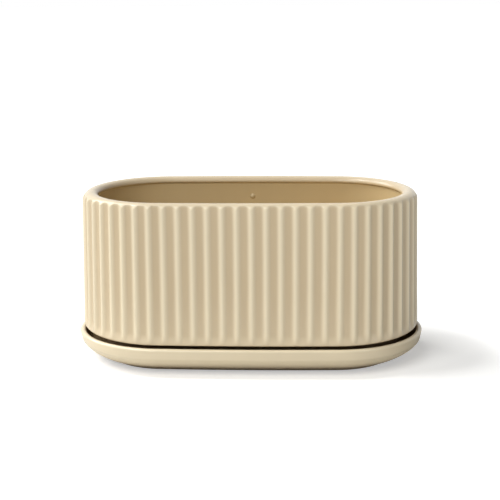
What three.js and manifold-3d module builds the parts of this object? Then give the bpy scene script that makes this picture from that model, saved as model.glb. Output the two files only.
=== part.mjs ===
// A ribbed, bowed-oblong planter standing in its saucer: two pieces of glazed, fired clay.
// Millimetres, +Z up, X along the length, the front faces -Y.
// The origin is the middle of the footprint, on the surface that the saucer stands on.

import * as THREE from 'three';
import { mergeVertices } from 'three/addons/utils/BufferGeometryUtils.js';
import Module from 'manifold-3d';

const wasm = await Module();
wasm.setup();

// Pot, plan over the rib crests at the bottom of the wall, where the pot is widest
const potLength = 229;
const potDepth = 116.7;
const sideBowRadius = 1400;

// Pot, wall and lip. The wall leans in a little towards its top. The lip stands in over the wall
// below it. At the two ends the lip is thicker, and its outer edge and the wall's bottom edge are
// rounder.
const potWallHeight = 93.5;
const wallLean = 1.7;
const bottomEdgeHeight = 1.4;
const bottomEdgeEndHeight = 3.2;
const bottomEdgeReach = 1.4;
const bottomEdgeEndReach = 4.4;
const lipThickness = 8.4;
const lipEndThickness = 10.5;
const lipOuterReach = 4.2;
const lipEndOuterReach = 6.2;
const lipOuterDrop = 4.4;
const lipEndOuterDrop = 6;
const lipInnerDrop = 3.2;
const lipOverhang = 1.2;
const lipOverhangHeight = 1.8;

// Pot, ribs: narrow rounded crests between wide shallow flutes. The first crest stands a little
// to the right of the middle of the front.
const ribPitch = 9.4;
const ribDepth = 1.5;
const crestSharpness = 2.2;
const firstCrest = 3.5;
const plainBandHeight = 0.3;
const ribFadeHeight = 3.4;

// Pot, base: a recessed foot holds the wall clear of the saucer's rim
const footInset = 14;
const footWidth = 6;
const footEdgeRadius = 1;
const floorRise = 6;
const floorThickness = 7;
const floorFilletRadius = 10;

// Pot, drainage: holes in the floor, and arched notches across the foot that lead to the saucer
const drainHoleDiameter = 10;
const drainHoleSpacing = 90;
const footNotchRadius = 3;
const footNotchSpacing = 110;

// Pot, raised nub on the inner face of the back wall
const nubRadius = 1.7;
const nubHeight = 1.3;
const nubDrop = 14.1;

// Saucer: below the rounded rim an upright band leans in a little, and then the belly curves
// under to the foot
const saucerOverhang = 3;
const saucerHeight = 19.9;
const saucerRimThickness = 4.2;
const saucerRimOuterDrop = 1.6;
const saucerRimInnerRadius = 2.4;
const saucerBandHeight = 5.1;
const saucerBandLean = 1.1;
const saucerWellDepth = 10.6;
const saucerWellFilletHeight = 6;
const saucerPlateThickness = 5;
const saucerFootInset = 20;
const saucerFootWidth = 4.5;
const saucerFootHeight = 1.5;
const bellyFullness = 1.4;

// Clearances between the two pieces
const seatGap = 0.3;
const shadowGap = 1.6;
const footClearance = 0.6;

// How finely the surfaces are faceted
const columnsPerRib = 6;
const crestBunching = 0.2;
const saucerColumns = 96;
const cutterSegments = 24;
const cutterMargin = 1;

// Glaze
const potGlaze = { color: '#cdbea0', roughness: 0.34, metalness: 0 };
const saucerGlaze = { color: '#d0c2a5', roughness: 0.34, metalness: 0 };

// Heights that follow. The pot's own are counted from the underside of its foot.
const saucerFloorTop = saucerHeight - saucerWellDepth;
const potStandHeight = saucerFloorTop + seatGap;
const wallBottom = saucerHeight + shadowGap - potStandHeight;
const lipTop = wallBottom + potWallHeight;
const potFloorTop = wallBottom + floorRise;
const potFloorUnderside = potFloorTop - floorThickness;

const quarterTurn = Math.PI / 2;

// A bowed oval is four tangent arcs: two long side arcs joined by two end arcs. The end radius
// follows from the length, the depth and the side radius. The arcs start at the middle of the
// front and go counter-clockwise.
function bowedOval(length, depth, bowRadius) {
  const halfLength = length / 2;
  const halfDepth = depth / 2;
  const endRadius = (2 * bowRadius * halfDepth - halfLength ** 2 - halfDepth ** 2)
    / (2 * (bowRadius - halfLength));
  const endCentre = halfLength - endRadius;
  const sideCentre = bowRadius - halfDepth;
  const sideHalf = Math.atan2(endCentre, sideCentre);
  const endHalf = quarterTurn - sideHalf;
  return [
    { x: 0, y: sideCentre, radius: bowRadius, from: -quarterTurn, sweep: sideHalf },
    { x: endCentre, y: 0, radius: endRadius, from: -endHalf, sweep: 2 * endHalf },
    { x: 0, y: -sideCentre, radius: bowRadius, from: endHalf, sweep: 2 * sideHalf },
    { x: -endCentre, y: 0, radius: endRadius, from: Math.PI - endHalf, sweep: 2 * endHalf },
    { x: 0, y: sideCentre, radius: bowRadius, from: -quarterTurn - sideHalf, sweep: sideHalf },
  ];
}

function perimeterOf(oval) {
  return oval.reduce((sum, arc) => sum + arc.radius * arc.sweep, 0);
}

// The column at a distance round an oval: its point, and the direction that faces out there
function columnAt(oval, distance) {
  let left = distance;
  let k = 0;
  while (k < oval.length - 1 && left > oval[k].radius * oval[k].sweep) {
    left -= oval[k].radius * oval[k].sweep;
    k += 1;
  }
  const angle = oval[k].from + left / oval[k].radius;
  const outward = new THREE.Vector2(Math.cos(angle), Math.sin(angle));
  const point = new THREE.Vector2(oval[k].x, oval[k].y).addScaledVector(outward, oval[k].radius);
  return { point, outward };
}

// Columns at the given shares of the way round an oval
function columnsRound(oval, shares) {
  const perimeter = perimeterOf(oval);
  return shares.map((share) => columnAt(oval, share * perimeter));
}

// A column's point at a height, stepped in from the plan
function pointOn({ point, outward }, z, inset) {
  const place = point.clone().addScaledVector(outward, -inset);
  return new THREE.Vector3(place.x, place.y, z);
}

// A ring is the points of all its columns at one height and one inset
function ring(columns, z, inset) {
  return columns.map((column) => pointOn(column, z, inset));
}

// Every so-many-th item of a list
function everyNth(list, stride) {
  return list.filter((_, i) => i % stride === 0);
}

// A closed body lofted through rings, from the middle of its underside out, up, over its rim and
// down to the middle of its floor
function loft(rings) {
  const points = [];
  const indexed = rings.map((corners) => corners.map((corner) => points.push(corner) - 1));
  const triangles = [];
  for (let k = 1; k < indexed.length; k += 1) {
    triangles.push(...bandBetween(indexed[k - 1], indexed[k]));
  }
  const first = indexed[0];
  const last = indexed[indexed.length - 1];
  const underside = points.push(new THREE.Vector3(0, 0, rings[0][0].z)) - 1;
  const floor = points.push(new THREE.Vector3(0, 0, rings[rings.length - 1][0].z)) - 1;
  first.forEach((corner, i) => triangles.push(underside, first[(i + 1) % first.length], corner));
  last.forEach((corner, i) => triangles.push(floor, corner, last[(i + 1) % last.length]));
  return new THREE.BufferGeometry().setFromPoints(points).setIndex(triangles);
}

// Triangles between two rings, where one may have several points for each point of the other
function bandBetween(below, above) {
  const fineBelow = below.length >= above.length;
  const fine = fineBelow ? below : above;
  const coarse = fineBelow ? above : below;
  const share = fine.length / coarse.length;
  const turn = Math.ceil(share / 2);
  const triangles = [];
  const add = (a, b, c) => triangles.push(...(fineBelow ? [a, b, c] : [a, c, b]));
  coarse.forEach((near, i) => {
    const far = coarse[(i + 1) % coarse.length];
    const along = (j) => fine[(i * share + j) % fine.length];
    for (let j = 0; j < share; j += 1) {
      add(along(j), along(j + 1), j < turn ? near : far);
    }
    add(along(turn), far, near);
  });
  return triangles;
}

// Shares from 0 to 1 in equal steps
function steps(count) {
  return Array.from({ length: count + 1 }, (_, i) => i / count);
}

function solidOf(geometry) {
  const bare = geometry.clone();
  bare.deleteAttribute('normal');
  bare.deleteAttribute('uv');
  const merged = mergeVertices(bare);
  return new wasm.Manifold(new wasm.Mesh({
    numProp: 3,
    vertProperties: new Float32Array(merged.attributes.position.array),
    triVerts: new Uint32Array(merged.index.array),
  }));
}

function geometryOf(solid) {
  const mesh = solid.getMesh();
  const geometry = new THREE.BufferGeometry();
  geometry.setAttribute('position', new THREE.BufferAttribute(mesh.vertProperties, 3));
  geometry.setIndex(new THREE.BufferAttribute(mesh.triVerts, 1));
  geometry.computeVertexNormals();
  return geometry;
}

// The columns of the pot, counted in ribs from the first crest. Each rib has the same number,
// closer together beside its crest.
function potColumnPhases(ribCount) {
  const phases = [];
  for (let rib = 0; rib < ribCount; rib += 1) {
    for (let j = 0; j < columnsPerRib; j += 1) {
      const phase = j / columnsPerRib;
      const drawnIn = (crestBunching * Math.sin(2 * Math.PI * phase)) / (2 * Math.PI);
      phases.push(rib + phase - drawnIn);
    }
  }
  return phases;
}

// How deep the flute is at a share of the way from one crest to the next: 0 on a crest, 1 midway
function fluteShare(phase) {
  return 1 - (0.5 + 0.5 * Math.cos(2 * Math.PI * phase)) ** crestSharpness;
}

// How far in the pot's wall leans at a height
function leanAt(z) {
  return (wallLean * (z - wallBottom)) / potWallHeight;
}

// A point of the lip's outer edge, a quarter ellipse that sets out upright from the wall. It is
// larger where the plan faces the ends.
function lipEdgeAt({ outward }, angle) {
  const reach = THREE.MathUtils.lerp(lipOuterReach, lipEndOuterReach, outward.x ** 2);
  const drop = THREE.MathUtils.lerp(lipOuterDrop, lipEndOuterDrop, outward.x ** 2);
  return {
    z: lipTop - drop * (1 - Math.sin(angle)),
    inset: reach * (1 - Math.cos(angle)),
  };
}

// A point of the wall's bottom edge, a quarter ellipse from the underside up to the wall. It is
// larger where the plan faces the ends.
function bottomEdgeAt({ outward }, angle) {
  const height = THREE.MathUtils.lerp(bottomEdgeHeight, bottomEdgeEndHeight, outward.x ** 2);
  const reach = THREE.MathUtils.lerp(bottomEdgeReach, bottomEdgeEndReach, outward.x ** 2);
  return {
    z: wallBottom + height * (1 - Math.cos(angle)),
    inset: reach * (1 - Math.sin(angle)),
  };
}

// The pot's rings. The ribs rise out of a plain band at the bottom of the wall, and at the top
// the flutes run straight out through the lip's rounded edge. The lip's inner side is a quarter
// ellipse too, from its crest down to the mouth.
function potRings() {
  const outside = bowedOval(potLength, potDepth, sideBowRadius);
  const opening = bowedOval(
    potLength - 2 * (wallLean + lipEndThickness),
    potDepth - 2 * (wallLean + lipThickness),
    sideBowRadius - wallLean - lipThickness,
  );
  const perimeter = perimeterOf(outside);
  const ribCount = 2 * Math.round(perimeter / ribPitch / 2);
  const phases = potColumnPhases(ribCount);
  const shares = phases.map((phase) => (phase / ribCount + firstCrest / perimeter) % 1);
  const fine = columnsRound(outside, shares);
  const medium = everyNth(fine, columnsPerRib / 2);
  const coarse = everyNth(fine, columnsPerRib);
  const mediumInside = columnsRound(opening, everyNth(shares, columnsPerRib / 2));
  const coarseInside = columnsRound(opening, everyNth(shares, columnsPerRib));

  const footInner = footInset + footWidth;
  const foot = [
    ring(coarse, potFloorUnderside, footInner + footEdgeRadius),
    ring(coarse, footEdgeRadius, footInner),
    ring(coarse, 0, footInner - footEdgeRadius),
    ring(coarse, 0, footInset + footEdgeRadius),
    ring(coarse, footEdgeRadius, footInset),
    ring(coarse, wallBottom - footEdgeRadius, footInset),
    ring(coarse, wallBottom, footInset - footEdgeRadius),
  ];
  const bottomEdge = steps(2).map((share) => medium.map((column) => {
    const { z, inset } = bottomEdgeAt(column, share * quarterTurn);
    return pointOn(column, z, inset + leanAt(z));
  }));
  const ribFeet = steps(3).map((share) => fine.map((column, i) => {
    const depth = ribDepth * (0.5 - 0.5 * Math.cos(share * Math.PI));
    const z = bottomEdgeAt(column, quarterTurn).z + plainBandHeight + share * ribFadeHeight;
    return pointOn(column, z, depth * fluteShare(phases[i]) + leanAt(z));
  }));

  const runOut = Math.acos(1 - Math.min(1, ribDepth / lipOuterReach));
  const ribHeads = steps(3).map((share) => fine.map((column, i) => {
    const { z, inset } = lipEdgeAt(column, share * runOut);
    return pointOn(column, z, Math.max(inset, ribDepth * fluteShare(phases[i])) + leanAt(z));
  }));
  const lipOutside = [0.5, 1].map((share) => medium.map((column) => {
    const { z, inset } = lipEdgeAt(column, runOut + share * (quarterTurn - runOut));
    return pointOn(column, z, inset + leanAt(z));
  }));
  const crest = lipOutside[lipOutside.length - 1];
  const mouth = ring(mediumInside, lipTop - lipInnerDrop, 0);
  const lipInside = steps(4).slice(1).map((share) => {
    const angle = share * quarterTurn;
    const z = lipTop - lipInnerDrop * (1 - Math.cos(angle));
    return crest.map((corner, i) => corner.clone().lerp(mouth[i], Math.sin(angle)).setZ(z));
  });

  const behindLip = (z) => leanAt(z) - wallLean - lipOverhang;
  const underLipHeight = lipTop - lipInnerDrop - lipOverhangHeight;
  const underLip = ring(coarseInside, underLipHeight, behindLip(underLipHeight));
  const hollow = steps(4).map((share) => {
    const angle = share * quarterTurn;
    const z = potFloorTop + floorFilletRadius * (1 - Math.sin(angle));
    return ring(coarseInside, z, floorFilletRadius * (1 - Math.cos(angle)) + behindLip(z));
  });
  return [
    ...foot, ...bottomEdge, ...ribFeet, ...ribHeads, ...lipOutside, ...lipInside, underLip, ...hollow,
  ];
}

function drainHoleCutter(x) {
  const height = floorThickness + 2 * cutterMargin;
  const radius = drainHoleDiameter / 2;
  return new THREE.CylinderGeometry(radius, radius, height, cutterSegments)
    .rotateX(quarterTurn)
    .translate(x, 0, potFloorTop - floorThickness / 2);
}

// One cutter makes the notch at the front and the one at the back
function footNotchCutter(x) {
  return new THREE.CylinderGeometry(footNotchRadius, footNotchRadius, potDepth, cutterSegments)
    .translate(x, 0, 0);
}

function nubOnBackWall() {
  const z = lipTop - nubDrop;
  const wallFace = potDepth / 2 - lipThickness + lipOverhang - leanAt(z);
  return new THREE.SphereGeometry(nubRadius, 12, 8)
    .translate(0, wallFace + nubRadius - nubHeight, z);
}

function potGeometry() {
  let body = solidOf(loft(potRings()));
  for (const side of [-1, 1]) {
    body = body.subtract(solidOf(drainHoleCutter((side * drainHoleSpacing) / 2)));
    body = body.subtract(solidOf(footNotchCutter((side * footNotchSpacing) / 2)));
  }
  return geometryOf(body.add(solidOf(nubOnBackWall())));
}

// The saucer follows the pot's plan, further out. Its well floor reaches just past the pot's foot.
function saucerRings() {
  const outside = bowedOval(
    potLength + 2 * saucerOverhang,
    potDepth + 2 * saucerOverhang,
    sideBowRadius + saucerOverhang,
  );
  const columns = columnsRound(outside, steps(saucerColumns).slice(0, -1));
  const footInner = saucerFootInset + saucerFootWidth;
  const foot = [
    ring(columns, saucerFloorTop - saucerPlateThickness, footInner + saucerFootHeight),
    ring(columns, 0, footInner),
    ring(columns, 0, saucerFootInset + saucerFootHeight / 2),
  ];
  const bandTop = saucerHeight - saucerRimOuterDrop;
  const bandBottom = bandTop - saucerBandHeight;
  const belly = steps(6).map((share) => {
    const reach = Math.sin(share * quarterTurn) ** (2 / bellyFullness);
    const rise = 1 - Math.cos(share * quarterTurn) ** (2 / bellyFullness);
    const z = saucerFootHeight + (bandBottom - saucerFootHeight) * rise;
    return ring(columns, z, saucerFootInset + (saucerBandLean - saucerFootInset) * reach);
  });
  const crestInset = saucerRimThickness - saucerRimInnerRadius;
  const rimOutside = steps(4).map((share) => {
    const angle = share * quarterTurn;
    const z = bandTop + saucerRimOuterDrop * Math.sin(angle);
    return ring(columns, z, crestInset * (1 - Math.cos(angle)));
  });
  const rimInside = steps(3).slice(1).map((share) => {
    const angle = share * quarterTurn;
    const z = saucerHeight - saucerRimInnerRadius * (1 - Math.cos(angle));
    return ring(columns, z, crestInset + saucerRimInnerRadius * Math.sin(angle));
  });
  const floorEdge = saucerOverhang + footInset - footClearance;
  const filletReach = floorEdge - saucerRimThickness;
  const well = steps(4).map((share) => {
    const angle = share * quarterTurn;
    const z = saucerFloorTop + saucerWellFilletHeight * (1 - Math.sin(angle));
    return ring(columns, z, saucerRimThickness + filletReach * (1 - Math.cos(angle)));
  });
  return [...foot, ...belly, ...rimOutside, ...rimInside, ...well];
}

function namedMesh(name, geometry, finish) {
  const mesh = new THREE.Mesh(geometry, new THREE.MeshStandardMaterial(finish));
  mesh.name = name;
  return mesh;
}

const planter = new THREE.Group();
planter.name = 'planter';

const saucer = namedMesh('saucer', geometryOf(solidOf(loft(saucerRings()))), saucerGlaze);
planter.add(saucer);

const pot = namedMesh('pot', potGeometry(), potGlaze);
pot.position.z = potStandHeight;
planter.add(pot);

export default planter;
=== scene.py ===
"""A ribbed, bowed-oblong planter in glazed stoneware, standing in its saucer.

The pot and the saucer are each one closed surface. Its rows follow a section from the middle of
the underside out, up, over the rim and down to the middle of the floor, and its columns follow a
plan of four tangent arcs. An inset is how far in from the plan a point lies. Sizes are in
millimetres until a mesh is made, and in metres after that.
"""

from __future__ import annotations

import logging
import math
from dataclasses import dataclass
from enum import Enum

import bpy
import numpy as np
from mathutils import Matrix, Vector


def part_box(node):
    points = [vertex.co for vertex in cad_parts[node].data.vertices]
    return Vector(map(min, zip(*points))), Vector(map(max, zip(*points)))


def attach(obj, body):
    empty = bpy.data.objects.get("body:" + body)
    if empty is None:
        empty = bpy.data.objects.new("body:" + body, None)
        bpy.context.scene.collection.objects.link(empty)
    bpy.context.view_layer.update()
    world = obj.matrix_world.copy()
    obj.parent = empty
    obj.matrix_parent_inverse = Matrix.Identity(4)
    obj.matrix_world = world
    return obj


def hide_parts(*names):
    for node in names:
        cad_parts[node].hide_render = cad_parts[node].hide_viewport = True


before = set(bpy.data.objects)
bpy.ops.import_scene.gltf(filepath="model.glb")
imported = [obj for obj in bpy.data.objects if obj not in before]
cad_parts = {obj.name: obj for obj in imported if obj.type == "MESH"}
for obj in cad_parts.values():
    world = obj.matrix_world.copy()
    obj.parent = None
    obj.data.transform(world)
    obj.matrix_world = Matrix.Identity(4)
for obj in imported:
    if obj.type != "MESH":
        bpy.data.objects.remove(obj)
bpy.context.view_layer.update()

LOG = logging.getLogger("planter")
MM = 0.001
QUARTER_TURN = math.pi / 2
FULL_TURN = 2 * math.pi


class Leaves(Enum):
    """The way a quarter ellipse sets out: straight up or down, or level."""

    UPRIGHT = "upright"
    LEVEL = "level"


class Joining(Enum):
    """What a closed mesh does to a piece, by the name of the Boolean's operation."""

    CUT_AWAY = "DIFFERENCE"
    JOIN_ON = "UNION"


def linear_colour(code: str) -> tuple[float, float, float, float]:
    """Turn an sRGB colour into the linear one that a shader takes.

    Args:
        code: The colour as #rrggbb.

    Returns:
        Red, green, blue and an alpha of 1.
    """
    shares = [int(code[i:i + 2], 16) / 255 for i in (1, 3, 5)]
    linear = [s / 12.92 if s <= 0.04045 else ((s + 0.055) / 1.055) ** 2.4 for s in shares]
    return (*linear, 1.0)


@dataclass(frozen=True)
class BowedOval:
    """A plan of four tangent arcs: two long bowed sides joined by two tight ends.

    Args:
        length: From end to end.
        depth: From side to side.
        bow_radius: The radius of the long sides.
    """

    length: float
    depth: float
    bow_radius: float

    @property
    def end_radius(self) -> float:
        """The radius of the ends, which makes them tangent to the sides."""
        a, b, r = self.length / 2, self.depth / 2, self.bow_radius
        return (2 * r * b - a * a - b * b) / (2 * (r - a))

    def arcs(self) -> np.ndarray:
        """Lay out the arcs, counter-clockwise from the middle of the front.

        Returns:
            One row for each arc: its centre's x and y, radius, first angle and sweep.
        """
        end = self.end_radius
        end_centre = self.length / 2 - end
        side_centre = self.bow_radius - self.depth / 2
        side_half = math.atan2(end_centre, side_centre)
        end_half = QUARTER_TURN - side_half
        return np.array([
            (0, side_centre, self.bow_radius, -QUARTER_TURN, side_half),
            (end_centre, 0, end, -end_half, 2 * end_half),
            (0, -side_centre, self.bow_radius, end_half, 2 * side_half),
            (-end_centre, 0, end, math.pi - end_half, 2 * end_half),
            (0, side_centre, self.bow_radius, -QUARTER_TURN - side_half, side_half),
        ])

    def perimeter(self) -> float:
        """Add up the arcs: each is its radius times its sweep."""
        arcs = self.arcs()
        return float(np.sum(arcs[:, 2] * arcs[:, 4]))

    def columns(self, shares: np.ndarray) -> Columns:
        """Find the columns at some shares of the way round.

        Each share picks its arc by the running length. The angle there is the arc's first angle
        plus the length left over the radius, the outward direction is that angle's, and the point
        is the arc's centre plus the radius along it.

        Args:
            shares: From 0 to 1, counter-clockwise from the middle of the front.

        Returns:
            The columns.
        """
        arcs = self.arcs()
        lengths = arcs[:, 2] * arcs[:, 4]
        ends = np.cumsum(lengths)
        distance = shares * ends[-1]
        which = np.minimum(np.searchsorted(ends, distance), len(arcs) - 1)
        angle = arcs[which, 3] + (distance - ends[which] + lengths[which]) / arcs[which, 2]
        outward = np.column_stack([np.cos(angle), np.sin(angle)])
        return Columns(arcs[which, :2] + arcs[which, 2, None] * outward, outward)


@dataclass(frozen=True)
class Columns:
    """Upright lines round a plan, and the direction that faces out at each.

    Args:
        points: Where each stands, in plan.
        outward: Which way is out there.
    """

    points: np.ndarray
    outward: np.ndarray

    def rows(self, height: np.ndarray, inset: np.ndarray) -> np.ndarray:
        """Sweep a section round the plan.

        A vertex is its column's point, less the inset along the outward direction, at its height.

        Args:
            height: The height of each row, or of each row and column.
            inset: How far in from the plan, for each row, or for each row and column.

        Returns:
            Vertices, by row and column.
        """
        plan = self.points[None] - self.outward[None] * inset.reshape(len(inset), -1, 1)
        z = np.broadcast_to(height.reshape(len(height), -1, 1), (*plan.shape[:2], 1))
        return np.concatenate([plan, z], axis=2)

    def towards_ends(self, side: float, end: float) -> np.ndarray:
        """Go from a size at the sides to a size at the ends, by the square of the outward x.

        Args:
            side: The size where the plan faces front or back.
            end: The size where it faces left or right.

        Returns:
            A size for each column.
        """
        return side + (end - side) * self.outward[:, 0] ** 2


@dataclass(frozen=True)
class Seating:
    """The overall sizes, and how the pot stands in the saucer.

    Args:
        length: The planter's length, which is the saucer's.
        depth: The planter's depth, which is the saucer's.
        height: From under the saucer to the top of the lip.
        bow_radius: The radius of the saucer's long sides.
        overhang: How far the saucer's plan lies outside the pot's.
        saucer_height: From under the saucer to the top of its rim.
        well_depth: From there down to the floor of the well.
        seat_gap: Between that floor and the pot's foot.
        shadow_gap: Between the saucer's rim and the wall of the pot above it.
        foot_inset: From the pot's plan in to its foot.
        foot_clearance: From the foot out to the edge of the well's flat floor.
    """

    length: float
    depth: float
    height: float
    bow_radius: float = 1403
    overhang: float = 3
    saucer_height: float = 19.9
    well_depth: float = 10.6
    seat_gap: float = 0.3
    shadow_gap: float = 1.6
    foot_inset: float = 14
    foot_clearance: float = 0.6

    @classmethod
    def of_solids(cls, saucer: str, pot: str) -> Seating:
        """Take the overall sizes from the CAD solids, to a hundredth of a millimetre.

        Args:
            saucer: The saucer's node, which gives the length and depth.
            pot: The pot's node, which gives the height.

        Returns:
            The seating.
        """
        low, high = (np.array(corner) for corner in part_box(saucer))
        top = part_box(pot)[1][2]
        length, depth, height = (np.array([*(high - low)[:2], top]) / MM).round(2).tolist()
        return cls(length, depth, height)

    @property
    def well_z(self) -> float:
        """The height of the well's floor."""
        return self.saucer_height - self.well_depth

    @property
    def foot_z(self) -> float:
        """The height of the underside of the pot's foot."""
        return self.well_z + self.seat_gap

    @property
    def wall_z(self) -> float:
        """The height of the underside of the pot's wall."""
        return self.saucer_height + self.shadow_gap

    @property
    def well_inset(self) -> float:
        """The inset of the edge of the well's flat floor."""
        return self.overhang + self.foot_inset - self.foot_clearance

    def plan(self, side: float = 0, end: float = 0) -> BowedOval:
        """Draw the saucer's plan, or one that lies inside it.

        Args:
            side: How far in the long sides lie.
            end: How far in the ends lie.

        Returns:
            The plan.
        """
        return BowedOval(self.length - 2 * end, self.depth - 2 * side, self.bow_radius - side)


def smooth_greater(a: np.ndarray, b: np.ndarray, blend: float = 0.1) -> np.ndarray:
    """Take the greater of two values, with a small round where they cross.

    The formula is half the sum, plus half the root of the squared difference and the squared
    blend, less half the blend.

    Args:
        a: The first values.
        b: The second values.
        blend: How wide the round is.

    Returns:
        The greater values.
    """
    return (a + b + np.sqrt((a - b) ** 2 + blend ** 2) - blend) / 2


def quarter_turn(steps: int) -> np.ndarray:
    """Divide a quarter of a turn into even steps, both ends among them."""
    return np.linspace(0, QUARTER_TURN, steps + 1)


def quarter(start: tuple[float, float], end: tuple[float, float], leaves: Leaves,
            steps: int) -> np.ndarray:
    """Draw a quarter of an ellipse between two points of a section.

    One coordinate goes by the sine of an angle that runs from 0 to 90 degrees, and the other by 1
    less its cosine.

    Args:
        start: Height and inset of the first point.
        end: Height and inset of the last point.
        leaves: Which way the curve sets out from the first point.
        steps: How many steps it takes.

    Returns:
        Rows of height and inset, both ends among them.
    """
    angle = quarter_turn(steps)
    early, late = np.sin(angle), 1 - np.cos(angle)
    upright, level = (early, late) if leaves is Leaves.UPRIGHT else (late, early)
    return np.column_stack([
        start[0] + (end[0] - start[0]) * upright,
        start[1] + (end[1] - start[1]) * level,
    ])


def joined(*sections: np.ndarray, least_step: float = 1e-6) -> np.ndarray:
    """Join stretches of a section, and drop points that repeat the one before.

    Args:
        sections: Rows of height and inset.
        least_step: How far apart two points are if they are not the same.

    Returns:
        One section.
    """
    rows = np.vstack(sections)
    fresh = np.ones(len(rows), bool)
    fresh[1:] = np.abs(np.diff(rows, axis=0)).max(axis=1) > least_step
    return rows[fresh]


def grid_faces(rows: int, columns: int) -> tuple[np.ndarray, np.ndarray]:
    """Number the vertices of a grid that closes on itself, and join them with quads.

    Vertex j of row i is number i * columns + j. Each quad takes a vertex, the next in its row and
    the two in the next row.

    Args:
        rows: How many rows.
        columns: How many columns.

    Returns:
        The numbers, by row and column, and the quads.
    """
    here = np.arange(rows * columns).reshape(rows, columns)
    beside = np.roll(here, -1, axis=1)
    return here, np.stack([here[:-1], beside[:-1], beside[1:], here[1:]], axis=-1).reshape(-1, 4)


def closed_mesh(name: str, rows: np.ndarray, glaze_and_shade: np.ndarray,
                flat_shares: tuple[float, ...]) -> bpy.types.Mesh:
    """Make a closed mesh of rows of vertices, with a flat face at each end.

    A flat face has rows that shrink towards the middle, so that it has no long slivers, and then
    a fan of triangles round a pole.

    Args:
        name: The mesh's name.
        rows: Vertices in millimetres, from the edge of the underside to the edge of the floor.
        glaze_and_shade: How thick the glaze lies at each vertex, with painted shade, from 0 to 1.
        flat_shares: The size of each row of a flat face, from the middle out, as a share of its
            edge's.

    Returns:
        The mesh, in metres, with a thickness attribute.
    """
    flat = len(flat_shares)
    shrunk = np.column_stack([flat_shares, flat_shares, np.ones(flat)])[:, None]
    rows = np.concatenate([rows[0] * shrunk, rows, rows[-1] * shrunk[::-1]])
    glaze_and_shade = np.pad(glaze_and_shade, ((flat, flat), (0, 0)), mode="edge")
    poles = np.array([(0, 0, rows[0, 0, 2]), (0, 0, rows[-1, 0, 2])])
    vertices = np.vstack([rows.reshape(-1, 3), poles]) * MM
    count, columns = rows.shape[:2]
    here, quads = grid_faces(count, columns)
    first, last = here[0], here[-1]
    under = np.column_stack([np.full(columns, count * columns), np.roll(first, -1), first])
    over = np.column_stack([np.full(columns, count * columns + 1), last, np.roll(last, -1)])
    mesh = bpy.data.meshes.new(name)
    mesh.from_pydata(vertices.tolist(), [], quads.tolist() + under.tolist() + over.tolist())
    mesh.shade_smooth()
    # The attribute carries painted shade together with how thick the glaze lies.
    values = np.append(glaze_and_shade.reshape(-1), glaze_and_shade[[0, -1], 0]).astype(np.float32)
    mesh.attributes.new("glaze_and_shade", "FLOAT", "POINT").data.foreach_set("value", values)
    return mesh


def turned_mesh(name: str, start: tuple[float, float, float], axis: tuple[float, float, float],
                profile: np.ndarray, sides: int) -> bpy.types.Mesh:
    """Make a closed mesh by turning a profile round an axis, to cut with or to join on.

    A vertex is the start, plus the distance along the axis, plus the radius along a direction
    that turns round it: the cosine of an angle across, and its sine along a second direction
    square to both. A flat cap closes each end.

    Args:
        name: The mesh's name.
        start: Where the axis starts, in millimetres.
        axis: Its direction, of length 1.
        profile: Rows of distance and radius.
        sides: How many sides the rings have.

    Returns:
        The mesh, in metres.
    """
    turn = np.array(Vector(axis).to_track_quat("Z", "Y").to_matrix())
    angle = np.linspace(0, FULL_TURN, sides, endpoint=False)[:, None]
    spokes = np.cos(angle) * turn[:, 0] + np.sin(angle) * turn[:, 1]
    distance, radius = profile.T[..., None, None]
    rings = np.array(start) + distance * np.array(axis) + radius * spokes
    here, quads = grid_faces(len(profile), sides)
    caps = [here[0][::-1].tolist(), here[-1].tolist()]
    mesh = bpy.data.meshes.new(name)
    mesh.from_pydata((rings.reshape(-1, 3) * MM).tolist(), [], quads.tolist() + caps)
    return mesh


def combine(piece: bpy.types.Object, tools: list[bpy.types.Mesh], joining: Joining) -> None:
    """Cut closed meshes from a piece or join them on, and delete them.

    Args:
        piece: The piece that changes.
        tools: The closed meshes, in the same place as the piece.
        joining: What they do to it.
    """
    for tool in tools:
        holder = place(tool)
        modifier = piece.modifiers.new(tool.name, "BOOLEAN")
        modifier.operation = joining.value
        modifier.solver = "MANIFOLD"
        modifier.object = holder
        with bpy.context.temp_override(object=piece, active_object=piece):
            bpy.ops.object.modifier_apply(modifier=modifier.name)
        bpy.data.objects.remove(holder)
        bpy.data.meshes.remove(tool)


def place(mesh: bpy.types.Mesh) -> bpy.types.Object:
    """Put a mesh in the scene under its own name, with its object at the origin.

    Args:
        mesh: The mesh, already in its place.

    Returns:
        The object.
    """
    piece = bpy.data.objects.new(mesh.name, mesh)
    bpy.context.scene.collection.objects.link(piece)
    return piece


class NodeSheet:
    """The nodes of a material or a world.

    Args:
        owner: The new material or world, whose default nodes are cleared.
    """

    def __init__(self, owner: bpy.types.Material | bpy.types.World) -> None:
        """Clear the owner's nodes."""
        owner.use_nodes = True
        self.tree = owner.node_tree
        self.tree.nodes.clear()

    def add(self, kind: str, settings: dict | None = None, **inputs: object) -> bpy.types.Node:
        """Add a node.

        Args:
            kind: The node's type name, less its ShaderNode prefix.
            settings: Properties to set, by name.
            inputs: A value or an output for each input, by name with _ for a space, or by in_
                and its number.

        Returns:
            The node.
        """
        node = self.tree.nodes.new("ShaderNode" + kind)
        for name, value in (settings or {}).items():
            setattr(node, name, value)
        for name, value in inputs.items():
            key = int(name[3:]) if name.startswith("in_") else name.replace("_", " ")
            if isinstance(value, bpy.types.NodeSocket):
                self.tree.links.new(value, node.inputs[key])
            else:
                node.inputs[key].default_value = value
        return node


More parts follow.
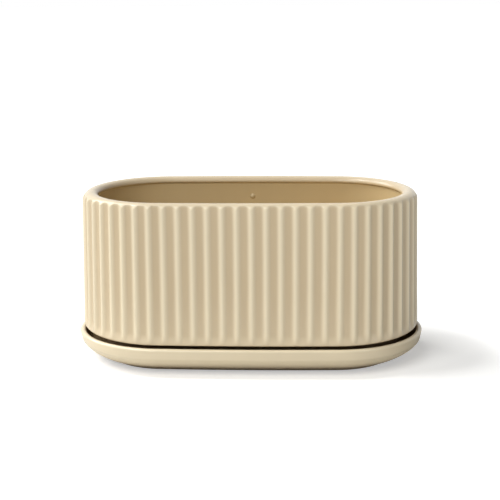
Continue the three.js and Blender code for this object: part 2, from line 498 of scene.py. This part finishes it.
@dataclass(frozen=True)
class GlazedStoneware:
    """A satin, cream-beige glaze on stoneware, poured on and fired once.

    To the eye the glaze breaks lighter where it thins on crests. The flutes are darker from pooled
    glaze and painted shade, and the inside is darkest and warmest from thick glaze and painted
    shade. It ran down a little as it was fired, so its faint unevenness is drawn out upright.
    Crevices are darkened with painted shade, and dull.

    Args:
        name: The material's name.
        thin_colour: The glaze where the thickness attribute is 0.
        pooled_and_shaded_colour: Pooled glaze with painted shade, where the thickness attribute is
            0.5.
        thick_and_shaded_colour: Thick glaze with painted shade, where the thickness attribute is
            1.
        roughness: How soft the glints are.
        roughness_swing: How much the runs change that, up and down.
        ior: A glassy glaze's.
        run_size: How wide the runs are, in millimetres.
        run_stretch: How many times as long as wide the runs and waves are.
        run_share: How much lighter or darker the runs are, as a share.
        wave_size: How wide the waves in the surface are, in millimetres.
        wave_height: How high they are, in millimetres.
        grain_size: How wide the surface's fine grain is, in millimetres.
        grain_height: How high it is, in millimetres.
        noise_span: The part of a noise's range that is used, because it seldom goes beyond.
        crevice_size: How near a second surface has to be to make a crevice, in millimetres.
        crevice_shade_colour: The painted shade that the glaze goes to deep in a crevice.
        crevice_shade_span: The openness at which a crevice's painted shade is darkest, and at
            which it ends.
        dull_span: The openness at which a crevice is dullest, and at which it is not dull.
    """

    name: str
    thin_colour: str = "#e5d7b9"
    pooled_and_shaded_colour: str = "#c7b494"
    thick_and_shaded_colour: str = "#cab387"
    roughness: float = 0.24
    roughness_swing: float = 0.02
    ior: float = 1.5
    run_size: float = 9.0
    run_stretch: float = 6.0
    run_share: float = 0.012
    wave_size: float = 6.0
    wave_height: float = 0.035
    grain_size: float = 0.8
    grain_height: float = 0.004
    noise_span: tuple[float, float] = (0.2, 0.8)
    crevice_size: float = 25.0
    crevice_shade_colour: str = "#5a3600"
    crevice_shade_span: tuple[float, float] = (0.02, 0.26)
    dull_span: tuple[float, float] = (0.25, 0.55)

    def material(self) -> bpy.types.Material:
        """Build the material.

        Returns:
            The material.
        """
        material = bpy.data.materials.new(self.name)
        sheet = NodeSheet(material)
        where = sheet.add("TexCoord").outputs["Object"]
        drawn_out = sheet.add(
            "Mapping", Vector=where, Scale=(1, 1, 1 / self.run_stretch)).outputs[0]
        runs = sheet.add(
            "TexNoise", Vector=drawn_out, Scale=1 / (self.run_size * MM), Detail=2.0)
        waves = sheet.add(
            "TexNoise", Vector=drawn_out, Scale=1 / (self.wave_size * MM), Detail=2.0)
        grain = sheet.add("TexNoise", Vector=where, Scale=1 / (self.grain_size * MM), Detail=1.0)
        openness = sheet.add(
            "AmbientOcclusion", {"samples": 16}, Distance=self.crevice_size * MM).outputs["AO"]
        shader = sheet.add(
            "BsdfPrincipled", Base_Color=self.colour(sheet, runs, openness),
            Roughness=self.dullness(sheet, runs, openness), IOR=self.ior,
            Normal=self.relief(sheet, waves, grain))
        sheet.add("OutputMaterial", Surface=shader.outputs[0])
        return material

    def colour(self, sheet: NodeSheet, runs: bpy.types.Node,
               openness: bpy.types.NodeSocket) -> bpy.types.NodeSocket:
        """Colour the glaze by how thick it lies and its painted shade, then by the runs, then
        darken the crevices with painted shade.

        Args:
            sheet: The material's nodes.
            runs: The noise of the runs.
            openness: How open each place is.

        Returns:
            The colour.
        """
        # Painted shade: this attribute mixes how thick the glaze lies with shade in the flutes and
        # inside, and the ramp's darker colours show both.
        share = sheet.add("Attribute", {"attribute_name": "glaze_and_shade"}).outputs["Fac"]
        ramp = sheet.add("ValToRGB", Fac=share)
        stops = ramp.color_ramp.elements
        stops[0].color = linear_colour(self.thin_colour)
        stops[1].color = linear_colour(self.thick_and_shaded_colour)
        stops.new(0.5).color = linear_colour(self.pooled_and_shaded_colour)
        low, high = self.noise_span
        lighter = sheet.add(
            "MapRange", in_0=runs.outputs["Fac"], in_1=low, in_2=high,
            in_3=1 - self.run_share, in_4=1 + self.run_share).outputs[0]
        glazed = sheet.add(
            "Mix", {"data_type": "RGBA", "blend_type": "MULTIPLY"},
            in_0=1.0, in_6=ramp.outputs["Color"], in_7=lighter).outputs[2]
        # Painted shade: the less open a place is, the nearer its colour goes to the crevice
        # colour.
        deep, clear = self.crevice_shade_span
        unshaded_share = sheet.add("MapRange", in_0=openness, in_1=deep, in_2=clear).outputs[0]
        return sheet.add(
            "Mix", {"data_type": "RGBA"}, in_0=unshaded_share,
            in_6=linear_colour(self.crevice_shade_colour), in_7=glazed).outputs[2]

    def dullness(self, sheet: NodeSheet, runs: bpy.types.Node,
                 openness: bpy.types.NodeSocket) -> bpy.types.NodeSocket:
        """Set the roughness by the runs, and raise it to 1 in crevices.

        Args:
            sheet: The material's nodes.
            runs: The noise of the runs.
            openness: How open each place is.

        Returns:
            The roughness.
        """
        low, high = self.noise_span
        satin = sheet.add(
            "MapRange", in_0=runs.outputs["Fac"], in_1=low, in_2=high,
            in_3=self.roughness - self.roughness_swing,
            in_4=self.roughness + self.roughness_swing).outputs[0]
        deep, clear = self.dull_span
        return sheet.add(
            "MapRange", in_0=openness, in_1=deep, in_2=clear, in_3=1.0, in_4=satin).outputs[0]

    def relief(self, sheet: NodeSheet, waves: bpy.types.Node,
               grain: bpy.types.Node) -> bpy.types.NodeSocket:
        """Raise the waves, and then the grain on them.

        Args:
            sheet: The material's nodes.
            waves: The noise of the waves.
            grain: The noise of the grain.

        Returns:
            The normal.
        """
        waved = sheet.add(
            "Bump", Height=waves.outputs["Fac"], Strength=1.0, Distance=self.wave_height * MM)
        return sheet.add(
            "Bump", Height=grain.outputs["Fac"], Strength=1.0,
            Distance=self.grain_height * MM, Normal=waved.outputs[0]).outputs[0]


@dataclass(frozen=True)
class UnglazedStoneware:
    """Bare, fired clay on the rings that stood on the kiln shelf: dry, pale buff and sandy.

    Args:
        name: The material's name.
        colour: The fired clay.
        sand_colour: The sand in it.
        sand_size: How wide a grain of sand is, in millimetres.
        sand_height: How far it stands out, in millimetres.
        sand_span: The noise at which clay starts to turn to sand, and at which it is all sand.
        roughness: A dry surface's.
    """

    name: str = "unglazed_stoneware"
    colour: str = "#cdb796"
    sand_colour: str = "#a88d69"
    sand_size: float = 0.7
    sand_height: float = 0.05
    sand_span: tuple[float, float] = (0.45, 0.75)
    roughness: float = 0.85

    def material(self) -> bpy.types.Material:
        """Build the material.

        Returns:
            The material.
        """
        material = bpy.data.materials.new(self.name)
        sheet = NodeSheet(material)
        where = sheet.add("TexCoord").outputs["Object"]
        sand = sheet.add("TexNoise", Vector=where, Scale=1 / (self.sand_size * MM), Detail=3.0)
        clay, all_sand = self.sand_span
        share = sheet.add(
            "MapRange", in_0=sand.outputs["Fac"], in_1=clay, in_2=all_sand).outputs[0]
        colour = sheet.add(
            "Mix", {"data_type": "RGBA"}, in_0=share, in_6=linear_colour(self.colour),
            in_7=linear_colour(self.sand_colour)).outputs[2]
        bump = sheet.add(
            "Bump", Height=sand.outputs["Fac"], Strength=1.0, Distance=self.sand_height * MM)
        shader = sheet.add(
            "BsdfPrincipled", Base_Color=colour, Roughness=self.roughness,
            Normal=bump.outputs[0])
        sheet.add("OutputMaterial", Surface=shader.outputs[0])
        return material


def dress(piece: bpy.types.Object, glaze: GlazedStoneware, foot_z: float,
          wiped: float = 0.2, sharp_angle: float = 50) -> None:
    """Glaze a piece all over except the face that it stands on, which is wiped bare.

    Args:
        piece: The piece.
        glaze: Its glaze.
        foot_z: The height of the face that it stands on.
        wiped: How far up from there it is bare.
        sharp_angle: The least angle of an edge that is left sharp, in degrees.
    """
    mesh = piece.data
    mesh.materials.clear()
    mesh.materials.append(glaze.material())
    mesh.materials.append(UnglazedStoneware().material())
    centres = np.empty(len(mesh.polygons) * 3, np.float32)
    mesh.polygons.foreach_get("center", centres)
    bare = centres[2::3] < (foot_z + wiped) * MM
    mesh.polygons.foreach_set("material_index", bare.astype(np.int32))
    mesh.set_sharp_from_angle(angle=math.radians(sharp_angle))
    mesh.update()


@dataclass
class Pot:
    """The ribbed pot: wall, rolled lip, hollow, recessed foot, drain holes and nub.

    A pair of sizes on the wall or lip is the one at the long sides and the one at the ends.

    Args:
        seating: How it stands in the saucer.
    """

    seating: Seating

    # The wall, whose bottom edge is a quarter ellipse
    wall_lean: float = 1.7
    bottom_edge_height: tuple[float, float] = (1.4, 3.2)
    bottom_edge_reach: tuple[float, float] = (1.4, 4.4)

    # The lip, with a quarter ellipse outside and inside, which stands in over the wall below it
    lip_thickness: tuple[float, float] = (8.4, 10.5)
    lip_outer_reach: tuple[float, float] = (4.2, 6.2)
    lip_outer_drop: tuple[float, float] = (4.4, 6)
    lip_inner_drop: float = 3.2
    lip_overhang: float = 1.2
    lip_overhang_height: float = 1.8

    # The ribs, which fade in from a little below the wall, where glaze fills the flutes
    ribs: int = 62
    rib_depth: float = 1.5
    crest_sharpness: float = 2.2
    first_crest: float = 3.5
    rib_fade_drop: float = 1.5
    rib_fade_height: float = 9.5

    # The foot and the floor
    foot_width: float = 6
    foot_edge_radius: float = 1
    recess_fillet_radius: float = 2
    floor_rise: float = 6
    floor_thickness: float = 7
    floor_fillet_radius: float = 10

    # The holes and notches, and how far their cutters reach past the clay
    drain_hole_radius: float = 5
    drain_hole_x: float = 45
    notch_radius: float = 3
    notch_x: float = 55
    cutter_margin: float = 2
    cutter_sides: int = 64

    # The nub: a dome between two angles, on a skirt where the glaze gathered against the wall.
    # Round it is a zone, a share of its radius wide, with close rows and the inside's glaze and
    # painted shade.
    nub_radius: float = 1.7
    nub_height: float = 1.3
    nub_drop: float = 14.1
    nub_root: float = 1.5
    nub_roundness: float = 0.8
    nub_skirt: tuple[float, float] = (1.25, 1.15)
    nub_angles: tuple[float, float] = (0.1, 1.5)
    nub_rings: int = 10
    nub_sides: int = 48
    nub_zone_share: float = 1.3

    # How finely the surface is divided
    columns_per_rib: int = 14
    small_edge_steps: int = 3
    bottom_edge_steps: int = 8
    fade_steps: int = 13
    ribbed_steps: int = 8
    lip_outer_steps: int = 16
    lip_inner_steps: int = 12
    lip_roll_steps: int = 4
    nub_steps: int = 6
    inner_wall_steps: int = 5
    floor_fillet_steps: int = 8
    flat_shares: tuple[float, ...] = (0.1, 0.4, 0.75)

    # How thick the glaze lies, with painted shade in the flutes and inside: in a flute, more
    # from the foot of the wall up to pooled_and_shaded_z
    settled_glaze: float = 0.4
    lip_glaze: float = 0.25
    low_flute_glaze_and_shade: float = 0.4
    flute_glaze_and_shade: float = 0.55
    pooled_and_shaded_z: float = 62
    pooling_and_shade_power: float = 1.6
    inside_glaze_and_shade: float = 1.0
    glaze: GlazedStoneware = GlazedStoneware("glazed_stoneware_pot")

    @property
    def floor_z(self) -> float:
        """The height of the floor inside."""
        return self.seating.wall_z + self.floor_rise

    @property
    def nub_z(self) -> float:
        """The height of the nub's middle."""
        return self.seating.height - self.nub_drop

    @property
    def nub_zone(self) -> float:
        """How far the nub's zone reaches from its middle."""
        return self.nub_radius * self.nub_zone_share

    @property
    def half_depth(self) -> float:
        """From the middle to the pot's plan, at the front or back."""
        return self.seating.depth / 2 - self.seating.overhang

    def phases(self) -> np.ndarray:
        """Space the columns evenly, counted in ribs from the first crest."""
        return np.arange(self.ribs * self.columns_per_rib) / self.columns_per_rib

    def flute_share(self) -> np.ndarray:
        """Find how deep the flute is at each column: 0 on a crest, and 1 midway between two.

        The crest is half a cosine wave, raised to a power that narrows it.

        Returns:
            A share for each column.
        """
        return 1 - (0.5 + 0.5 * np.cos(FULL_TURN * self.phases())) ** self.crest_sharpness

    def lean(self, z: np.ndarray | float) -> np.ndarray:
        """Find how far in the wall leans, in proportion to the height above its underside.

        Args:
            z: Heights.

        Returns:
            An inset for each height.
        """
        wall_z, top_z = self.seating.wall_z, self.seating.height
        return self.wall_lean * np.clip(z - wall_z, 0, None) / (top_z - wall_z)

    def foot_section(self) -> np.ndarray:
        """Draw the section from the recess under the floor, round the foot and out to the wall.

        Returns:
            Rows of height and inset from the outer plan.
        """
        steps = self.small_edge_steps
        round_in, edge = self.recess_fillet_radius, self.foot_edge_radius
        ceiling, wall = self.floor_z - self.floor_thickness, self.seating.wall_z
        sole = self.seating.foot_z
        outer = self.seating.foot_inset
        inner = outer + self.foot_width
        return joined(
            quarter((ceiling, inner + round_in), (ceiling - round_in, inner), Leaves.LEVEL, steps),
            quarter((sole + edge, inner), (sole, inner - edge), Leaves.UPRIGHT, steps),
            quarter((sole, outer + edge), (sole + edge, outer), Leaves.LEVEL, steps),
            quarter((wall - edge, outer), (wall, outer - edge), Leaves.UPRIGHT, steps),
        )

    def ribbed_rows(self, outer: Columns) -> tuple[np.ndarray, np.ndarray]:
        """Sweep the wall's bottom edge, its ribs and the lip's outer edge round the outer plan.

        Both edges are quarter ellipses, larger towards the ends. The depth of a flute rises over
        the fade as half a cosine wave. The inset is the greater of the edge's and the flute's, so
        that the flutes run straight out through the lip.

        Args:
            outer: The outer plan's columns.

        Returns:
            The vertices, and how thick the glaze lies at each, with painted shade in the flutes:
            thinnest on a crest, thickest and most shaded at the bottom of a flute, and even where
            no flute shows and on the lip.
        """
        wall_z = self.seating.wall_z
        lip_reach = outer.towards_ends(*self.lip_outer_reach)
        lip_drop = outer.towards_ends(*self.lip_outer_drop)
        edge_reach = outer.towards_ends(*self.bottom_edge_reach)
        edge_height = outer.towards_ends(*self.bottom_edge_height)
        fade_start = wall_z - self.rib_fade_drop
        fade_end = fade_start + self.rib_fade_height
        lip_start = self.seating.height - lip_drop
        low = quarter_turn(self.bottom_edge_steps)[:, None]
        high = quarter_turn(self.lip_outer_steps)[:, None]
        height = np.concatenate([
            wall_z + edge_height * (1 - np.cos(low)),
            np.linspace(wall_z + edge_height, fade_end, self.fade_steps + 1)[1:-1],
            np.linspace(fade_end, lip_start, self.ribbed_steps + 1)[:-1],
            lip_start + lip_drop * np.sin(high),
        ])
        edges = np.zeros_like(height)
        edges[:len(low)] = edge_reach * (1 - np.sin(low))
        edges[-len(high):] = lip_reach * (1 - np.cos(high))
        risen = np.clip((height - fade_start) / self.rib_fade_height, 0, 1)
        depth_share = 0.5 - 0.5 * np.cos(math.pi * risen)
        flute_share = depth_share * self.flute_share()
        inset = smooth_greater(edges, self.rib_depth * flute_share) + self.lean(height)
        # Painted shade with the pooled glaze: flutes darken towards their bottoms and up to
        # pooled_and_shaded_z.
        pooled_and_shaded = np.interp(
            height, (wall_z, self.pooled_and_shaded_z), (self.low_flute_glaze_and_shade, self.flute_glaze_and_shade))
        glaze = pooled_and_shaded * flute_share ** self.pooling_and_shade_power
        glaze += self.settled_glaze * (1 - depth_share)
        on_lip = np.clip(edges / self.rib_depth, 0, 1) * (height > fade_end)
        return outer.rows(height, inset), glaze + (self.lip_glaze - glaze) * on_lip

    def inside_section(self) -> np.ndarray:
        """Draw the section from under the lip down to the edge of the flat floor.

        The lip rolls back over the wall in an S of two quarter ellipses. The wall has close rows
        behind the nub, so that the nub joins them without long slivers.

        Returns:
            Rows of height and inset from the mouth's plan.
        """
        mouth = self.seating.height - self.lip_inner_drop
        under = mouth - self.lip_overhang_height
        fillet = self.floor_z + self.floor_fillet_radius
        behind = -self.lip_overhang
        halfway = (mouth + under) / 2, behind / 2
        above_nub, below_nub = self.nub_z + self.nub_zone, self.nub_z - self.nub_zone
        wall = np.concatenate([
            [under],
            np.linspace(above_nub, below_nub, self.nub_steps + 1),
            np.linspace(below_nub, fillet, self.inner_wall_steps + 1),
        ])
        section = joined(
            quarter((mouth, 0), halfway, Leaves.UPRIGHT, self.lip_roll_steps),
            quarter(halfway, (under, behind), Leaves.LEVEL, self.lip_roll_steps),
            np.column_stack([wall, np.full_like(wall, behind)]),
            quarter((fillet, behind), (self.floor_z, self.floor_fillet_radius + behind),
                    Leaves.UPRIGHT, self.floor_fillet_steps),
        )
        section[:, 1] += self.lean(section[:, 0]) - self.lean(mouth)
        return section

    def rows(self) -> tuple[np.ndarray, np.ndarray]:
        """Sweep the sections round their plans and join them over the lip.

        The lip's inner side is a quarter ellipse: each vertex moves from the crest's row towards
        the mouth's row by the sine of an angle, and down by 1 less its cosine. The glaze gets
        thicker, and its painted shade darker, from there to where the lip has rolled back to the
        wall.

        Returns:
            The vertices, and how thick the glaze lies at each, with its painted shade.
        """
        overhang = self.seating.overhang
        outside = self.seating.plan(overhang, overhang)
        mouth = self.seating.plan(*(overhang + self.wall_lean + t for t in self.lip_thickness))
        shares = (self.phases() / self.ribs + self.first_crest / outside.perimeter()) % 1
        outer = outside.columns(shares)
        foot = outer.rows(*self.foot_section().T)
        wall, wall_glaze_and_shade = self.ribbed_rows(outer)
        inside = mouth.columns(shares).rows(*self.inside_section().T)
        angle = quarter_turn(self.lip_inner_steps)[1:-1]
        across, down = np.sin(angle), 1 - np.cos(angle)
        moved = np.column_stack([across, across, down])[:, None]
        lip = wall[-1] + (inside[0] - wall[-1]) * moved
        rolled = len(lip) + 2 * self.lip_roll_steps
        # Painted shade inside, with thick glaze, rising over the lip's roll.
        inner_glaze_and_shade = np.full((len(lip) + len(inside), len(shares)), self.inside_glaze_and_shade)
        inner_glaze_and_shade[:rolled] = np.linspace(self.lip_glaze, self.inside_glaze_and_shade, rolled)[:, None]
        foot_glaze = np.full(foot.shape[:2], self.settled_glaze)
        return (np.concatenate([foot, wall, lip, inside]),
                np.concatenate([foot_glaze, wall_glaze_and_shade, inner_glaze_and_shade]))

    def cutters(self) -> list[bpy.types.Mesh]:
        """Make the cylinders that cut the drain holes, and the notches from front to back.

        Returns:
            The closed meshes.
        """
        foot_z, margin = self.seating.foot_z, self.cutter_margin
        drain_length = self.floor_z - foot_z + 2 * margin
        drain = np.array([(0, self.drain_hole_radius), (drain_length, self.drain_hole_radius)])
        notch = np.array([(0, self.notch_radius), (2 * self.half_depth, self.notch_radius)])
        return [
            turned_mesh("drain", (side * self.drain_hole_x, 0, foot_z - margin), (0, 0, 1),
                        drain, self.cutter_sides) for side in (-1, 1)
        ] + [
            turned_mesh("notch", (side * self.notch_x, -self.half_depth, foot_z), (0, 1, 0),
                        notch, self.cutter_sides) for side in (-1, 1)
        ]

    def nub(self) -> bpy.types.Mesh:
        """Make the nub on the back wall.

        Its distance from the wall goes by the sine of an angle, and its radius by the cosine,
        raised to a power that makes it fuller. Two rings of the skirt come first, one in the clay
        and one on the wall.

        Returns:
            A closed mesh that reaches into the wall.
        """
        wall = self.lip_thickness[0] - self.lip_overhang + float(self.lean(self.nub_z))
        start = (0, self.half_depth - wall + self.nub_root, self.nub_z)
        angle = np.linspace(*self.nub_angles, self.nub_rings)
        dome = self.nub_root + self.nub_height * np.sin(angle)
        distance = np.concatenate([[0, self.nub_root], dome])
        radius = np.concatenate([self.nub_skirt, np.cos(angle) ** self.nub_roundness])
        profile = np.column_stack([distance, self.nub_radius * radius])
        return turned_mesh("nub", start, (0, -1, 0), profile, self.nub_sides)

    def coat_joins(self, mesh: bpy.types.Mesh, near: float = 0.01, mouth: float = 1) -> None:
        """Give the cut edges and the nub the glaze of the faces that they lie in.

        Args:
            mesh: The pot's mesh, with its holes and notches cut and its nub joined on.
            near: How far outside a cut a vertex may lie and still be on its edge.
            mouth: How far down a drain hole the floor's glaze runs.
        """
        points = np.empty(len(mesh.vertices) * 3, np.float32)
        mesh.vertices.foreach_get("co", points)
        x, y, z = points.reshape(-1, 3).T / MM
        values = mesh.attributes["glaze_and_shade"].data
        glaze = np.empty(len(values), np.float32)
        values.foreach_get("value", glaze)
        from_drain = np.hypot(np.abs(x) - self.drain_hole_x, y)
        from_notch = np.hypot(np.abs(x) - self.notch_x, z - self.seating.foot_z)
        from_nub = np.hypot(x, z - self.nub_z)
        in_drain = from_drain < self.drain_hole_radius + near
        in_notch = from_notch < self.notch_radius + near
        in_mouth = in_drain & (z > self.floor_z - mouth)
        inside = (y > 0) & (y < self.half_depth - self.lip_thickness[0] / 2)
        glaze[in_drain | in_notch] = self.settled_glaze
        # The drain's mouth and the nub's zone take the inside's glaze and painted shade.
        glaze[in_mouth | (inside & (from_nub < self.nub_zone))] = self.inside_glaze_and_shade
        values.foreach_set("value", glaze)

    def build(self) -> bpy.types.Object:
        """Make the pot, cut its holes, dress it and hang it on its body.

        Returns:
            The pot.
        """
        pot = place(closed_mesh("pot_glazed", *self.rows(), self.flat_shares))
        combine(pot, self.cutters(), Joining.CUT_AWAY)
        combine(pot, [self.nub()], Joining.JOIN_ON)
        self.coat_joins(pot.data)
        dress(pot, self.glaze, self.seating.foot_z)
        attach(pot, "pot")
        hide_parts("pot")
        return pot


@dataclass
class Saucer:
    """The saucer: rounded rim, upright band, curved belly, low foot and flat well.

    Args:
        seating: How the pot stands in it.
    """

    seating: Seating

    # The rim, the band under it and the belly, whose fullness is the power of its superellipse
    rim_thickness: float = 4.2
    rim_outer_drop: float = 1.6
    rim_inner_radius: float = 2.4
    band_height: float = 5.1
    band_lean: float = 1.1
    belly_fullness: float = 1.4

    # The foot, the recess inside it and the rise from the well's floor
    foot_inset: float = 20
    foot_width: float = 4.5
    foot_height: float = 1.5
    foot_inner_radius: float = 0.5
    plate_thickness: float = 5
    recess_fillet_radius: float = 1.5
    well_fillet_height: float = 6

    # How finely the surface is divided
    column_count: int = 720
    recess_steps: int = 4
    foot_steps: int = 3
    belly_steps: int = 24
    rim_outer_steps: int = 12
    rim_inner_steps: int = 8
    well_steps: int = 10
    flat_shares: tuple[float, ...] = (0.05, 0.3, 0.6, 0.85)

    # How thick the glaze lies, with the change halfway down the rim's inner side, below which the
    # well takes thick glaze and painted shade
    rim_glaze: float = 0.1
    well_glaze_and_shade: float = 1.0
    glaze: GlazedStoneware = GlazedStoneware("glazed_stoneware_saucer")

    def belly(self, top: float) -> np.ndarray:
        """Draw the belly from the foot to the band, as a quarter of a superellipse.

        The shares are the sine and cosine of an angle, raised to 2 over the fullness.

        Args:
            top: The height of the band's lower edge.

        Returns:
            Rows of height and inset.
        """
        angle = quarter_turn(self.belly_steps)
        reach = np.sin(angle) ** (2 / self.belly_fullness)
        rise = 1 - np.cos(angle) ** (2 / self.belly_fullness)
        return np.column_stack([
            self.foot_height + (top - self.foot_height) * rise,
            self.foot_inset + (self.band_lean - self.foot_inset) * reach,
        ])

    def section(self) -> np.ndarray:
        """Draw the section from the recess underneath to the edge of the well's flat floor.

        Returns:
            Rows of height and inset.
        """
        top, floor = self.seating.saucer_height, self.seating.well_z
        recess, round_in = floor - self.plate_thickness, self.recess_fillet_radius
        inner, edge = self.foot_inset + self.foot_width, self.foot_inner_radius
        crest = (top, self.rim_thickness - self.rim_inner_radius)
        band_top = top - self.rim_outer_drop
        return joined(
            quarter((recess, inner + round_in), (recess - round_in, inner), Leaves.LEVEL,
                    self.recess_steps),
            quarter((edge, inner), (0, inner - edge), Leaves.UPRIGHT, self.foot_steps),
            quarter((0, self.foot_inset + self.foot_height / 2),
                    (self.foot_height, self.foot_inset), Leaves.LEVEL, self.foot_steps),
            self.belly(band_top - self.band_height),
            quarter((band_top, 0), crest, Leaves.UPRIGHT, self.rim_outer_steps),
            quarter(crest, (top - self.rim_inner_radius, self.rim_thickness), Leaves.LEVEL,
                    self.rim_inner_steps),
            quarter((floor + self.well_fillet_height, self.rim_thickness),
                    (floor, self.seating.well_inset), Leaves.UPRIGHT, self.well_steps),
        )

    def build(self) -> bpy.types.Object:
        """Make the saucer, dress it and hang it on its body.

        Returns:
            The saucer.
        """
        height, inset = self.section().T
        shares = np.arange(self.column_count) / self.column_count
        rows = self.seating.plan().columns(shares).rows(height, inset)
        glaze_and_shade = np.full(rows.shape[:2], self.rim_glaze)
        # Painted shade in the well, in the gap under the pot, along with thick glaze.
        glaze_and_shade[np.argmax(height) + self.rim_inner_steps // 2:] = self.well_glaze_and_shade
        saucer = place(closed_mesh("saucer_glazed", rows, glaze_and_shade, self.flat_shares))
        dress(saucer, self.glaze, 0)
        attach(saucer, "saucer")
        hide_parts("saucer")
        return saucer


def towards(turn: float, height: float) -> Vector:
    """Find the direction from the planter to a lamp or the camera.

    The sine of the turn goes to the right and its cosine to the front, both by the cosine of the
    height, and the sine of the height goes up.

    Args:
        turn: From the front towards the right, in degrees.
        height: Above level, in degrees.

    Returns:
        The direction, of length 1.
    """
    turn, height = math.radians(turn), math.radians(height)
    return Vector((math.sin(turn) * math.cos(height), -math.cos(turn) * math.cos(height),
                   math.sin(height)))


@dataclass(frozen=True)
class Lamp:
    """A wide, far source, so that its light is even and its shadows are soft.

    Args:
        name: The lamp's name.
        strength: Its strength, in watts on a square metre.
        turn: How far it stands from the front towards the right, in degrees.
        height: How high it stands above level, in degrees.
        spread: How wide it looks from the planter, in degrees.
    """

    name: str
    strength: float
    turn: float
    height: float
    spread: float = 40

    def hang(self) -> None:
        """Put the lamp in the scene."""
        data = bpy.data.lights.new(self.name, "SUN")
        data.energy = self.strength
        data.angle = math.radians(self.spread)
        lamp = bpy.data.objects.new(self.name, data)
        lamp.rotation_mode = "QUATERNION"
        lamp.rotation_quaternion = towards(self.turn, self.height).to_track_quat("Z", "Y")
        bpy.context.scene.collection.objects.link(lamp)


@dataclass
class Studio:
    """A plain pale floor, soft light mostly from the left, and the camera.

    Args:
        camera_place: Where the camera is, in metres.
        camera_turn: How far it is turned from straight ahead to the left, in degrees.
        camera_dip: How far it looks down, in degrees.
        camera_roll: How far it is rolled, in degrees.
        focal_pixels: Its focal length, in pixels of the photograph.
        frame_pixels: The photograph's width, in pixels.
        sensor_width: The width that stands for the frame, in millimetres.
        floor_size: From edge to edge, in metres.
        floor_colour: The floor's paper.
        floor_glow: The light that the floor gives to the camera alone.
        lamps: What lights the planter.
    """

    camera_place: tuple[float, float, float] = (0.041219, -0.862453, 0.269938)
    camera_turn: float = 2.736
    camera_dip: float = 12.871
    camera_roll: float = -0.496
    focal_pixels: float = 1297.4
    frame_pixels: float = 500
    sensor_width: float = 36
    floor_size: float = 12
    floor_colour: str = "#e6e6e4"
    floor_glow: float = 0.43
    lamps: tuple[Lamp, ...] = (
        Lamp("window", 1.15, -84, 62, 12),
        Lamp("window_behind", 2.1, -110, 38),
        Lamp("fill_left", 1.78, -30, 38),
        Lamp("fill_right", 0.38, 50, 15),
    )

    def set_camera(self) -> None:
        """Set up the camera from its turn about Z, its dip below level and its roll."""
        roll = math.radians(self.camera_roll)
        ahead = -towards(self.camera_turn, self.camera_dip)
        level = ahead.cross(Vector((0, 0, 1))).normalized()
        up = level.cross(ahead)
        right = level * math.cos(roll) + up * math.sin(roll)
        above = up * math.cos(roll) - level * math.sin(roll)
        data = bpy.data.cameras.new("camera")
        data.sensor_fit = "HORIZONTAL"
        data.sensor_width = self.sensor_width
        data.lens = self.focal_pixels * self.sensor_width / self.frame_pixels
        camera = bpy.data.objects.new("camera", data)
        turned = Matrix((right, above, -ahead)).transposed().to_4x4()
        camera.matrix_world = Matrix.Translation(Vector(self.camera_place)) @ turned
        bpy.context.scene.collection.objects.link(camera)
        bpy.context.scene.camera = camera

    def lay_floor(self) -> None:
        """Lay the floor: matt and pale, with a little glow of its own for the camera only."""
        half = self.floor_size / 2
        corners = [(-half, -half, 0), (half, -half, 0), (half, half, 0), (-half, half, 0)]
        mesh = bpy.data.meshes.new("floor")
        mesh.from_pydata(corners, [], [(0, 1, 2, 3)])
        floor = place(mesh)
        paper = bpy.data.materials.new("matt_white_paper")
        sheet = NodeSheet(paper)
        seen = sheet.add("LightPath").outputs["Is Camera Ray"]
        glow = sheet.add("Math", {"operation": "MULTIPLY"}, in_0=seen, in_1=self.floor_glow)
        matt = sheet.add("BsdfDiffuse", Color=linear_colour(self.floor_colour))
        light = sheet.add("Emission", Strength=glow.outputs[0])
        both = sheet.add("AddShader", in_0=matt.outputs[0], in_1=light.outputs[0])
        sheet.add("OutputMaterial", Surface=both.outputs[0])
        mesh.materials.append(paper)

    def surround(self) -> None:
        """Surround the scene with a white room, which shows to the camera and in glints only."""
        world = bpy.data.worlds.new("soft_white_room")
        sheet = NodeSheet(world)
        path = sheet.add("LightPath")
        seen = sheet.add("Math", {"operation": "MAXIMUM"}, in_0=path.outputs["Is Camera Ray"],
                         in_1=path.outputs["Is Glossy Ray"])
        room = sheet.add("Background", Color=(1, 1, 1, 1), Strength=seen.outputs[0])
        sheet.add("OutputWorld", Surface=room.outputs[0])
        bpy.context.scene.world = world

    def build(self) -> None:
        """Set up everything round the planter."""
        self.set_camera()
        self.lay_floor()
        for lamp in self.lamps:
            lamp.hang()
        self.surround()
        bpy.context.scene.view_settings.view_transform = "Standard"


def main() -> None:
    """Build the scene in order, and report each piece."""
    logging.basicConfig(level=logging.INFO, format="%(name)s: %(message)s")
    Studio().build()
    seating = Seating.of_solids("saucer", "pot")
    for maker in (Saucer(seating), Pot(seating)):
        piece = maker.build()
        LOG.info("%s stands in the scene, with %d faces", piece.name, len(piece.data.polygons))


if __name__ == "__main__":
    main()
